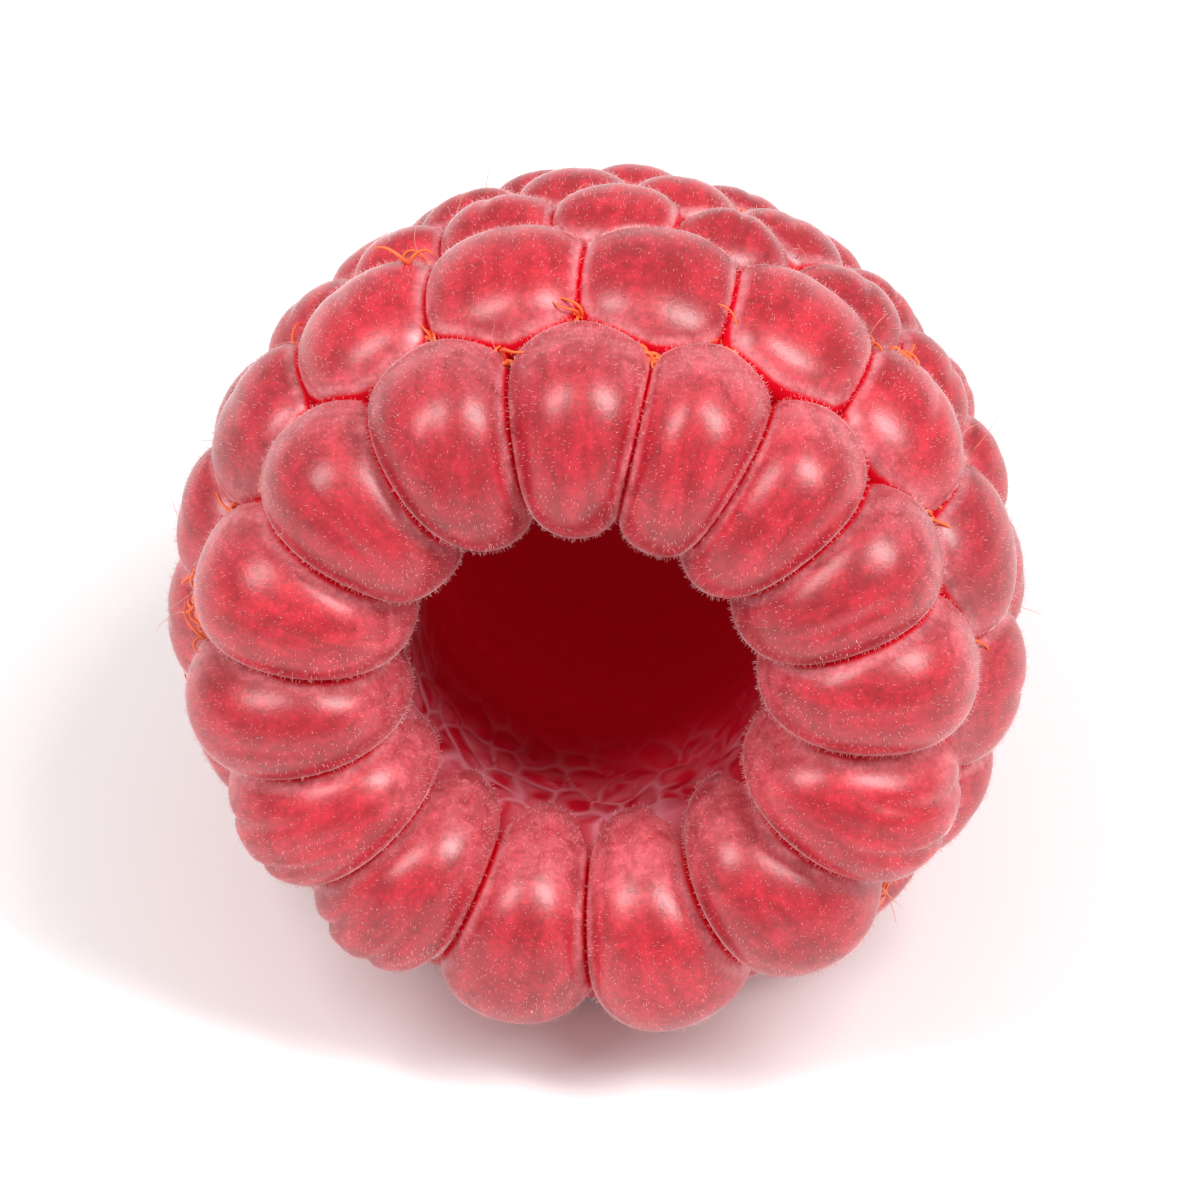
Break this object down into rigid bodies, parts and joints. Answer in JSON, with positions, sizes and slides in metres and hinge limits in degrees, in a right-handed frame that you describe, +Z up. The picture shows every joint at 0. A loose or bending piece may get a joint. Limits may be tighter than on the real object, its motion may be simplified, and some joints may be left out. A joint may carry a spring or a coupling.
{
  "type": "raspberry",
  "caption": "Picked raspberry on its side: plump drupelets grown together round a tapered hollow, with a ring of long drupelets round its open mouth.",
  "frame": {"origin": "on the surface the berry rests on, under the middle of its bounding box", "axes": "+Z up; the open mouth looks along -Y and 17 degrees up, and the tip points along +Y; +X is to the right as seen looking into the mouth"},
  "size_m": [0.0215, 0.0213, 0.0208],
  "materials": {
    "drupelet_skin": "satin",
    "hollow_skin": "matte",
    "styles": "matte"
  },
  "bodies": {
    "root": {"raspberry": "drupelet_skin"}
  },
  "joints": []
}
